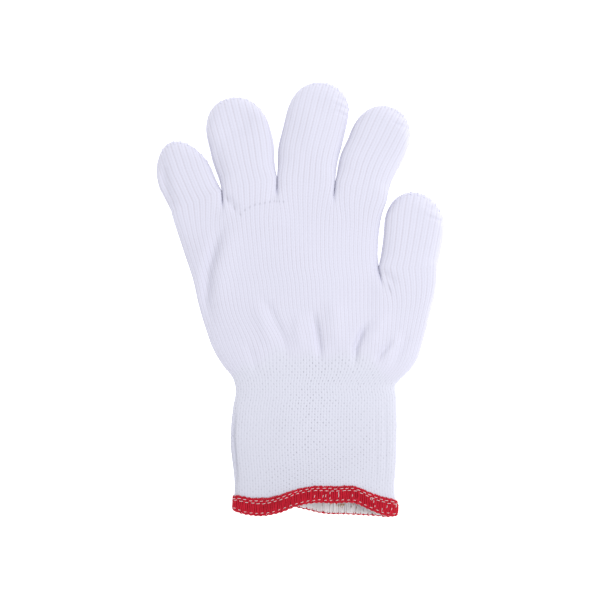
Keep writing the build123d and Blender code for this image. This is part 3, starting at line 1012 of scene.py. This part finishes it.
def hem_flecks():
    """Bits of white thread that show through the red."""
    spots = 0.24 + 0.6 * dice.random(FLECKS)       # none on the front's left part
    up = dice.uniform(0.8, 4.6, FLECKS)
    t = spots[:, None] + np.linspace(-0.15, 0.15, 4) / HEM_WRAPS
    bits = on_cuff(t, up[:, None] + np.linspace(-0.9, 0.9, 4),
                   np.array([0.3, 0.88, 0.88, 0.3]))
    flecks = threads("hem_flecks", bits, 0.13, WHITE)
    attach(flecks, "palm")


def hem_inside():
    """White strands on the inside, and ends of the elastic between them."""
    turn, up = np.meshgrid(np.arange(480) / 480, np.linspace(-0.7, HEM_UP - 0.6, 9))
    ground = mesh_from_grid("hem_inner_ground", on_cuff(turn, up, -WALL - 0.45), flip=True)
    ground.data.materials.append(WHITE)
    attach(ground, "palm")

    strands = INNER_STRANDS
    t0 = (np.arange(strands) + dice.normal(0, 0.25, strands)) / strands
    ups = np.linspace(-0.95, HEM_UP - 0.3, 7) + dice.normal(0, 0.12, (strands, 7))
    sway = dice.normal(0, 0.16, (strands, 7)).cumsum(1) / strands
    deep = -WALL - 0.45 - 0.35 * np.sin(np.linspace(0.3, math.pi - 0.3, 7))
    deep = deep + dice.normal(0, 0.12, (strands, 1))
    inner = threads("hem_inner_strands", on_cuff(t0[:, None] + sway, ups, deep),
                    dice.uniform(0.26, 0.42, (strands, 1)), WHITE,
                    around=around_cuff(t0))
    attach(inner, "palm")
    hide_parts("hem_inner_loops")

    t0 = dice.random(ELASTIC_BITS)
    ups = dice.uniform(1.4, 4.4, ELASTIC_BITS)[:, None] + np.linspace(0, 1.5, 4)
    deep = np.array([-WALL - 0.9, -WALL - 1.35, -WALL - 1.35, -WALL - 0.9])
    core = threads("hem_elastic_ends", on_cuff(t0[:, None] + np.zeros((1, 4)), ups, deep), 0.13,
                   TAN, around=around_cuff(t0))
    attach(core, "palm")


def elastic_piece():
    """Rubber threads laid around the inside of the cuff."""
    n = 240
    turn = np.arange(n + 1) / n
    rings = [on_cuff(turn, up, -WALL - 0.32) for up in np.arange(12.0, 61.0, 4.4)]
    o = threads("cuff_elastic_threads", rings, 0.26, BAND)
    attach(o, "palm")
    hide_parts("cuff_elastic")


def tip_piece(name, knit):
    """Cast-off stitches: one small loop over the fingertip's closed edge for each wale."""
    columns = WALES[name] * COLUMNS_PER_WALE
    at = np.arange(COLUMNS_PER_WALE // 2, columns, COLUMNS_PER_WALE)
    at = at[at > 0.3 * columns]
    rows = knit.base.shape[0]
    paths = []
    for c in at:
        front = [knit.base[k, c] + knit.normal[k, c] * 0.05 for k in (rows - 4, rows - 3, rows - 2)]
        back = [knit.base[k, 2 * columns - c] for k in (rows - 2, rows - 3, rows - 4)]
        edge = knit.base[rows - 1, c]
        inward = knit.base[rows - 4, c] - edge
        out = -inward / (np.linalg.norm(inward) + 1e-9)
        out[2] = 0.0
        paths.append([*front, edge + out * 0.22, *back])
    o = threads(name + "_cast_off", paths, 0.34, KNIT_THREAD)
    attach(o, name)
    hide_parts(name + "_tip_closure")


def crotch_piece(node):
    """Closing stitches that tie the upper and the under side together in a crotch."""
    low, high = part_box(node)
    centre = np.array([(low[0] + high[0]) / 2, (low[1] + high[1]) / 2]) / MM
    paths = []
    for k in range(3):
        x, y = centre + np.array([(k - 1) * 0.7, 0.4 * (k % 2)])
        z = np.linspace(FOLD_Z - 2.4, FOLD_Z + 2.4, 6)
        paths.append(np.stack([x + 0.2 * np.sin(z), y + 0.2 * np.cos(z), z], -1))
    o = threads(node + "_tie", paths, 0.32, KNIT_THREAD,
                around=np.array([1.0, 0.0, 0.0]))
    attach(o, "palm")
    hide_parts(node)


hem_outside()
needle_dashes("hem_needle_dashes_upper", [HEM_UP - 0.7, HEM_UP - 2.0], 0.66,
              "hem_needle_threads_upper")
needle_dashes("hem_needle_dashes_lower", [-0.1], 0.5, "hem_needle_thread_lower")
hem_flecks()
hem_inside()
elastic_piece()
for name, knit in finger_knits.items():
    tip_piece(name, knit)
for pair in ("pinky_ring", "ring_middle", "middle_index", "index_thumb"):
    crotch_piece(pair + "_crotch")


# ---------------------------------------------------------------- stage

def stage():
    mesh = bpy.data.meshes.new("floor")
    s = 6.0
    mesh.from_pydata([(-s, -s, 0), (s, -s, 0), (s, s, 0), (-s, s, 0)], [], [(0, 1, 2, 3)])
    floor = new_object("floor", mesh)
    material = Material("floor")
    settings = {"Base Color": (0.93, 0.93, 0.93), "Roughness": 0.9, "Specular IOR Level": 0.0,
                "Emission Color": (1.0, 1.0, 1.0), "Emission Strength": 0.8}
    for key, value in settings.items():
        material.put(material.shader.inputs[key], value)
    mesh.materials.append(material.data)

    world = bpy.data.worlds.new("studio")
    bpy.context.scene.world = world
    world.use_nodes = True
    background = world.node_tree.nodes["Background"]
    background.inputs[0].default_value = (1, 1, 1, 1)
    background.inputs[1].default_value = 0.84

    place = (0.55, 0.2, 0.95)
    data = bpy.data.lights.new("key", "AREA")
    data.shape = "DISK"
    data.size = 0.7
    data.energy = 6.1
    light = new_object("key", data)
    light.location = place
    light.rotation_mode = "QUATERNION"
    light.rotation_quaternion = (-Vector(place)).to_track_quat("-Z", "Y")


def camera():
    data = bpy.data.cameras.new("camera")
    cam = new_object("camera", data)
    field, distance = 318.6 * MM, 0.9
    data.sensor_width = 36.0
    data.lens = 36.0 * distance / field
    data.clip_start, data.clip_end = 0.01, 20.0
    cam.location = (0.0, 0.0, distance + FOLD_Z * MM)
    cam.rotation_euler = (0, 0, 0)
    bpy.context.scene.camera = cam


stage()
camera()
bpy.context.scene.view_settings.view_transform = "Standard"
